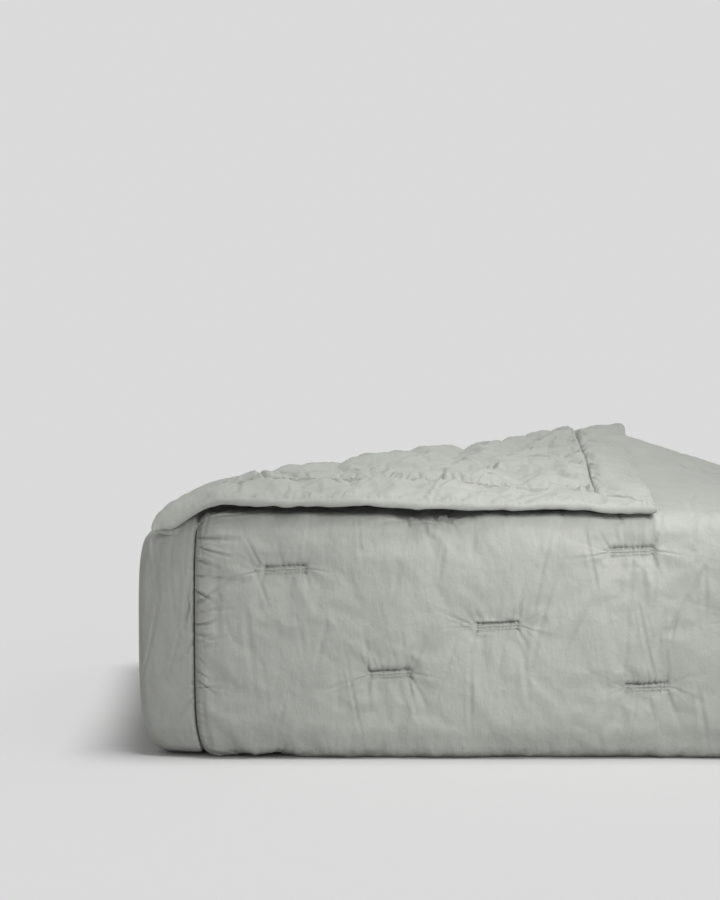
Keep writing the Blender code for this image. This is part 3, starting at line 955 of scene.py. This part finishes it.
def hem_relief(u, v, along, inward, seed):
    """Hem of the corner: flat, with ticks along its rolled outer edge and gathers at its seam."""

    def held(a, b):
        return (b < 0.0015) | (b > HEM - 0.003)

    low, high = (-0.03, 0.0), (LEG, HEM)
    puff = simulated_cloth(low, high, 0.004, held, 0.045, 2.0, seed, bending=0.6, level_out=0.4)
    height = 0.9 * cloth_crumple(u, v, seed) + 0.8 * puff(along, inward)
    rng = np.random.default_rng(seed)
    creases, position = [], 0.004
    while position < LEG:
        long, deep = rng.uniform(0.004, 0.015), rng.uniform(0.0004, 0.0013)
        angle = math.pi / 2 + rng.normal(0, 0.25)
        creases.append(Crease(position, 0.001, angle, long, rng.uniform(0.0009, 0.0017), deep))
        position += rng.uniform(0.004, 0.010)
    shape = {"turn": -math.pi / 2, "reach": (0.004, 0.016), "depth": (0.0003, 0.0009)}
    creases += seam_gathers(LEG, seed + 1, lambda x: (x, HEM), **shape)
    shape = {"angle": 0.9, "spread": 0.7, "depth": (0.0003, 0.0009)}
    creases += tension_wrinkles((0, 0), (LEG, HEM), 30, seed + 2, **shape)
    for crease in creases:
        crease.add(along, inward, height)
    return height


def corner_hem(name, grid, height, inward, mitre, material):
    """One hem of the corner, from its relief and the distances in from its edge and from the mitre."""
    swell = 0.0012 * np.sin(math.pi * np.clip(inward / HEM, 0, 1))
    outer = rounding([(inward, 0.0055), (mitre + 0.004, 0.004)])
    at_seam = CORNER_HEM_SEAM + (1 - CORNER_HEM_SEAM) * rounding([(HEM - inward, 0.004)])
    edge = np.minimum(outer, at_seam)
    return flap_sheet(name, *grid, CORNER_HEM_THICK, height * edge + swell, edge, material)


def make_flap_side_hem(material):
    q_rows = spaced(0.0, HEM, FINE, 0.010, 0.008)
    P, Q, W = rows_along_p(q_rows, LEG - q_rows - 0.0004)
    u, v = flat_corner(P, Q, W)
    height = hem_relief(u, v, u, Q, 92) * (0.3 + 0.7 * smooth(0.02, 0.09, (P + Q) / math.sqrt(2)))
    return corner_hem("corner_side_hem", (P, Q, W), height, Q, LEG - Q - P, material)


def make_flap_head_hem(material):
    p_rows = spaced(LEG - HEM, LEG, FINE, 0.008, 0.010)
    c = p_rows * math.sqrt(2) - ROLL
    start = p_rows - crease_level(c)[1] * math.sqrt(2)
    Q, P, W = roll_rows(p_rows, start, LEG - p_rows + 0.0004, c)
    u, v = flat_corner(P, Q, W)
    height = hem_relief(u, v, v, LEG - P, 96)
    return corner_hem("corner_head_hem", (P, Q, W), height, LEG - P, P + Q - LEG, material)


# ---------------------------------------------------------------- inner layers


def ribbon(
    name, route, insets, offset, half, material, seed,
    radius=0.007, step=COARSE, hem_left=False, puff=0.0015, tacks=(), far_end=0.006,
):
    """A padded layer that follows a route across the block's width less its insets, with rounded ends.

    Also returns the place of flat (x, s) points at a height above the layer's outside.
    """
    low, high = LEFT + insets[0], RIGHT - insets[1]
    s = spaced(0.0, route.length, step, 0.012, 0.012, extra=sorted({t.v for _, t in tacks}))
    x = spaced(low, high, step, 0.03, 0.03, extra=((low + HEM,) if hem_left else ()))
    S, X = np.meshgrid(s, x, indexing="ij")
    edge = rounding([(X - low, radius), (high - X, radius), (S, JOIN), (route.length - S, far_end)])

    def relief(across, along):
        height = 0.8 * cloth_crumple(across, along, seed) + puff * noise(across, along, 0.09, seed + 7)
        if hem_left:
            height = height - 0.0045 * np.exp(-(((across - low - HEM) / 0.0035) ** 2))
        for _, tack in tacks:
            height = height - 0.0035 * tack.sink(across, along)
            for crease in tack.creases[tack.first_long :]:
                crease.add(across, along, height)
        return height

    def folded(across, along, distance):
        y, z = route.place(along)
        ny, nz = route.face(along)
        y, z = y + ny * distance, z + nz * distance
        return np.stack([draw_in(across, z), y, np.maximum(settle(across, y, z), 0.0003)], -1)

    def outside(across, along, up):
        return folded(across, along, offset + half + relief(across, along) + 0.0002 + up)

    top = folded(X, S, offset + (half + relief(X, S)) * edge + 0.0002)
    bottom = folded(X, S, offset - half * edge - 0.0002)
    return closed_sheet(name, top, bottom, np.stack([X, S], -1), material), outside


def stack_route():
    """Middle of the folded strip, from under the front edge through the inner panels."""
    half, quarter = math.pi, math.pi / 2
    middle, radius = STRIP / 2, STRIP / 2
    levels = [middle + STRIP * k for k in range(4)]
    back, front = BACK - STRIP, FRONT + 2 * STRIP + 0.003
    return Route(
        [
            line((UNDER_START, levels[0]), (back, levels[0]), (0, -1)),
            bend((back, levels[0] + radius), radius, -quarter, half),
            line((back, levels[1]), (front, levels[1]), (0, 1)),
            bend((front, levels[1] + radius), radius, -quarter, -half, -1.0),
            line((front, levels[2]), (back, levels[2]), (0, -1)),
            bend((back, levels[2] + radius), radius, -quarter, half),
            line((back, levels[3]), (FOOT_LOW[1], levels[3]), (0, 1)),
        ]
    )


def under_route(front):
    """Middle of the strip along the underside, from the back to y = front."""
    return Route([line((UNDER_START, STRIP / 2), (front, STRIP / 2), (0, -1))])


def leaf_route():
    """Middle of the strip from the bottom of the front, up and back over the top."""
    middle, quarter = STRIP / 2, math.pi / 2
    return Route(
        [
            bend((FRONT + STRIP, STRIP), middle, -quarter, -quarter),
            line((FRONT + middle, STRIP), (FRONT + middle, TOP - STRIP), (-1, 0)),
            bend((FRONT + STRIP, TOP - STRIP), middle, 2 * quarter, -quarter),
            line((FRONT + STRIP, TOP - middle), (HEAD_EDGE, TOP - middle), (0, 1)),
        ]
    )


# ---------------------------------------------------------------- stitches


TACK_THREAD, SEAM_THREAD = 0.00046, 0.00028  # stitch radii


def stitch_mesh(name, stitches, carry, material, radius=TACK_THREAD):
    """Joined short stitches. Each is (u, v, angle, length); carry takes flat points to the surface."""
    around, along = 6, 7
    points, faces = [], []
    for u, v, angle, length in stitches:
        c, s = math.cos(angle), math.sin(angle)
        base = len(points)
        t = np.linspace(-1, 1, along)
        for a in t:
            arch = radius * 1.1 * (1 - a * a)
            thick = radius * math.sqrt(max(0.06, 1 - a**4))
            for k in range(around):
                turn = 2 * math.pi * k / around
                side, up = thick * math.cos(turn), thick * math.sin(turn) + arch
                du = a * length / 2
                points.append((u + du * c - side * s, v + du * s + side * c, up))
        for i in range(along - 1):
            for k in range(around):
                n = (k + 1) % around
                row, nxt = base + i * around, base + (i + 1) * around
                faces.append((row + k, row + n, nxt + n, nxt + k))
        faces.append(tuple(base + k for k in range(around - 1, -1, -1)))
        faces.append(tuple(base + (along - 1) * around + k for k in range(around)))
    flat = np.array(points)
    places = carry(flat[:, 0], flat[:, 1], flat[:, 2])
    mesh = bpy.data.meshes.new(name)
    mesh.from_pydata([tuple(p) for p in places], [], faces)
    mesh.update()
    return add_piece(name, mesh, material)


def tack_stitches(tack):
    """Three close rows of stitches with their ends closed."""
    found = []
    half, high = tack.length / 2, tack.height / 2
    c, s = math.cos(tack.angle), math.sin(tack.angle)

    def add(along, up, turn, length):
        found.append((tack.u + along * c - up * s, tack.v + along * s + up * c, tack.angle + turn, length))

    pitch = 0.0033
    count = int(tack.length / pitch)
    for up in (high - 0.0004, 0.0, -high + 0.0006):
        for k in range(count):
            along = -half + (k + 0.5) * tack.length / count
            add(along, up, 0.0, pitch * 0.74)
    for side in (-1, 1):
        for up in (high * 0.5, -high * 0.5):
            add(side * half, up, math.pi / 2, high * 0.7)
    return found


def running_stitch(start, end, pitch=0.0034):
    """A straight row of stitches between two flat points."""
    length, angle = math.dist(start, end), math.atan2(end[1] - start[1], end[0] - start[0])
    found = []
    for k in range(int(length / pitch)):
        t = (k + 0.5) * pitch / length
        u, v = start[0] + (end[0] - start[0]) * t, start[1] + (end[1] - start[1]) * t
        found.append((u, v, angle, pitch * 0.72))
    return found


# ---------------------------------------------------------------- studio


def make_floor():
    material, nodes, _ = new_material("studio_floor")
    white = (0.78, 0.78, 0.78, 1.0)
    set_inputs(nodes["Principled BSDF"], Base_Color=white, Roughness=1.0, Specular_IOR_Level=0.0)
    bpy.ops.mesh.primitive_plane_add(size=400.0, location=(0, 0, 0))
    floor = bpy.context.object
    floor.name = "studio_floor_plane"
    floor.data.materials.append(material)


def make_light():
    world = bpy.data.worlds.new("studio")
    bpy.context.scene.world = world
    world.use_nodes = True
    set_inputs(world.node_tree.nodes["Background"], Color=(1.0, 1.0, 1.0, 1.0), Strength=0.32)
    sun = bpy.data.lights.new("key", "SUN")
    sun.energy = 1.865
    sun.angle = math.radians(24)
    lamp = add_object("key", sun)
    lamp.rotation_mode = "QUATERNION"
    lamp.rotation_quaternion = Vector((0.20, -0.06, 0.975)).to_track_quat("Z", "Y")


def make_near_light(pieces):
    """Soft box close to the right of the quilt. It lights the quilt only, so the floor stays even."""
    box = bpy.data.lights.new("soft_box", "AREA")
    box.shape = "DISK"
    box.size = 0.36
    box.energy = 0.80
    box.spread = math.radians(56)
    lamp = add_object("soft_box", box)
    lamp.location = (0.28, FRONT - 0.69, 0.66)
    aim = Vector((0.00, FRONT + 0.02, 0.205)) - lamp.location
    lamp.rotation_mode = "QUATERNION"
    lamp.rotation_quaternion = aim.to_track_quat("-Z", "Y")
    lit = bpy.data.collections.new("lit_by_soft_box")
    for piece in pieces:
        lit.objects.link(piece)
    lamp.light_linking.receiver_collection = lit


def make_camera():
    data = bpy.data.cameras.new("camera")
    data.sensor_width = 36.0
    data.lens = 154.5
    camera = add_object("camera", data)
    camera.location = (LEFT + 0.1987, FRONT - 3.4, 0.698)
    camera.rotation_euler = (math.radians(90 - 7.04), 0.0, 0.0)
    bpy.context.scene.camera = camera


# ---------------------------------------------------------------- build


def plies(prefix):
    return [f"{prefix}_{ply}" for ply in ("face_fabric", "batting", "back_fabric")]


def main():
    face = cotton("sage_cotton", SAGE)
    hem_cloth = cotton("sage_cotton_hem", tuple(c * 0.955 for c in SAGE), bump=0.8)
    reverse = cotton("sage_cotton_reverse", tuple(c * 0.945 for c in SAGE))
    thread = thread_material("sage_thread", THREAD_COLOUR)

    def declare(nodes):
        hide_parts(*nodes)

    def riding(body, piece, slot, *nodes, fill=None):
        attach(piece, body)
        declare(nodes)

    def across_leaf(piece, slot, *nodes, fill=None):
        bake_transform(piece)
        declare(nodes)

    def across_crease(piece, slot, *nodes, fill=None):
        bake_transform(piece)
        declare(nodes)

    panel, panel_height = make_outer_panel(face)
    across_leaf(panel, "face_fabric", *plies("stack_outer"), *plies("leaf_outer"), fill=0.5)
    across_leaf(make_side_hem(hem_cloth), "hem_fabric", "stack_side_hem", "leaf_side_hem", fill=0.3)
    riding("top_leaf", make_head_hem(hem_cloth), "hem_fabric", "head_hem_outer", fill=0.3)
    corner, corner_height = make_flap_panel(reverse)
    across_crease(corner, "back_fabric", *plies("flap"), fill=0.5)
    across_crease(make_flap_side_hem(hem_cloth), "hem_fabric", "flap_side_hem", fill=0.3)
    across_crease(make_flap_head_hem(hem_cloth), "hem_fabric", "flap_head_hem", fill=0.3)

    # The outer third's folds, and the two thirds inside it as one padded layer
    stack = stack_route()
    back_tacks = placed_tacks("back", 3, 0.0, 160, flat_on(stack))
    outer, inner = (LAYER, LAYER / 2), (-LAYER / 2, LAYER - 0.0008)
    run, on_outer_run = ribbon(
        "outer_third_folds", stack, (0.0, 0.0), *outer, face, 201, hem_left=True, tacks=back_tacks
    )
    riding("root", run, "face_fabric", "foot_hem_outer", fill=0.5)
    inner_thirds = [*plies("stack_middle"), *plies("stack_inner")]
    inner_ends = ["foot_hem_middle", "foot_hem_inner", "stack_inner_side_hem"]
    run, _ = ribbon("inner_thirds_folds", stack, (0.006, 0.006), *inner, reverse, 211, radius=0.013)
    riding("root", run, "back_fabric", *inner_thirds, *inner_ends, fill=0.5)

    # The leaf's two hidden thirds
    leaf, half = leaf_route(), LAYER / 2 - 0.0006
    run, _ = ribbon(
        "leaf_middle_third", leaf, (0.004, 0.004), -0.0003, half, face, 221, step=0.0045, puff=0.0
    )
    across_leaf(run, "face_fabric", *plies("leaf_middle"), "head_hem_middle", fill=0.5)
    run, _ = ribbon("leaf_inner_third", leaf, (0.007, 0.002), -LAYER - 0.0003, half, reverse, 231, puff=0.0)
    across_leaf(run, "back_fabric", *plies("leaf_inner"), "head_hem_inner", "leaf_inner_side_hem", fill=0.5)

    # The underside, which stays behind when the leaf lifts
    under = under_route(FRONT + LOW_BEND + TUCK)
    run, _ = ribbon("outer_third_under", under, (0.0, 0.0), *outer, face, 241, hem_left=True, far_end=JOIN)
    riding("root", run, "face_fabric", *plies("stack_outer"), fill=0.5)
    under = under_route(FRONT + STRIP)
    run, _ = ribbon(
        "inner_thirds_under", under, (0.006, 0.006), *inner, reverse, 251, radius=0.013, far_end=JOIN
    )
    riding("root", run, "back_fabric", *inner_thirds, fill=0.5)

    def on_panel(u, v, up):
        return on_wrap(u, v, panel_height(u, v) + up)

    def on_corner(u, v, up, share=1.0):
        place, face_to, half = flap_point(u, v, np.zeros_like(u))
        body = np.minimum(CORNER_THICK, 2 * half)
        return place + face_to * ((body / 2 + corner_height(u, v)) * share + up + 0.0003)[..., None]

    for name, tack in WRAP_TACKS:
        across_leaf(stitch_mesh(name + "_stitches", tack_stitches(tack), on_panel, thread), "thread", name)
    for name, tack in CORNER_TACKS:
        across_crease(stitch_mesh(name + "_stitches", tack_stitches(tack), on_corner, thread), "thread", name)
    for name, tack in back_tacks:
        piece = stitch_mesh(name + "_stitches", tack_stitches(tack), on_outer_run, thread)
        riding("root", piece, "thread", name)

    def in_front_seam(u, v, up):
        return on_wrap(u, v, panel_top(panel_height(u, v), rounding([(u - SEAM, SEAM_ROUND)])) + up)

    run = running_stitch((SEAM + 0.0009, UNDER_END), (SEAM + 0.0009, FRONT_HIGH + 0.006))
    piece = stitch_mesh("front_seam_stitches", run, in_front_seam, thread, radius=SEAM_THREAD)
    across_leaf(piece, "thread", "stack_seam_thread", "leaf_seam_thread")

    low, inner = HEM + 0.0010, CORNER_END - 0.0008
    seams = (
        ("side", (HEM + 0.050, low), (CORNER_END - 0.001, low), lambda u, v: v - HEM),
        ("head", (inner, HEM + 0.002), (inner, CORNER_END - 0.050), lambda u, v: CORNER_END - u),
    )
    for side, start, end, away in seams:

        def in_corner_seam(u, v, up, away=away):
            return on_corner(u, v, up, corner_share(away(u, v)))

        run = running_stitch(start, end)
        piece = stitch_mesh(f"flap_{side}_seam_stitches", run, in_corner_seam, thread, radius=SEAM_THREAD)
        across_crease(piece, "thread", f"flap_{side}_seam_thread")

    bpy.context.scene.view_settings.view_transform = "Standard"
    make_floor()
    make_light()
    make_near_light(PIECES)
    make_camera()


main()
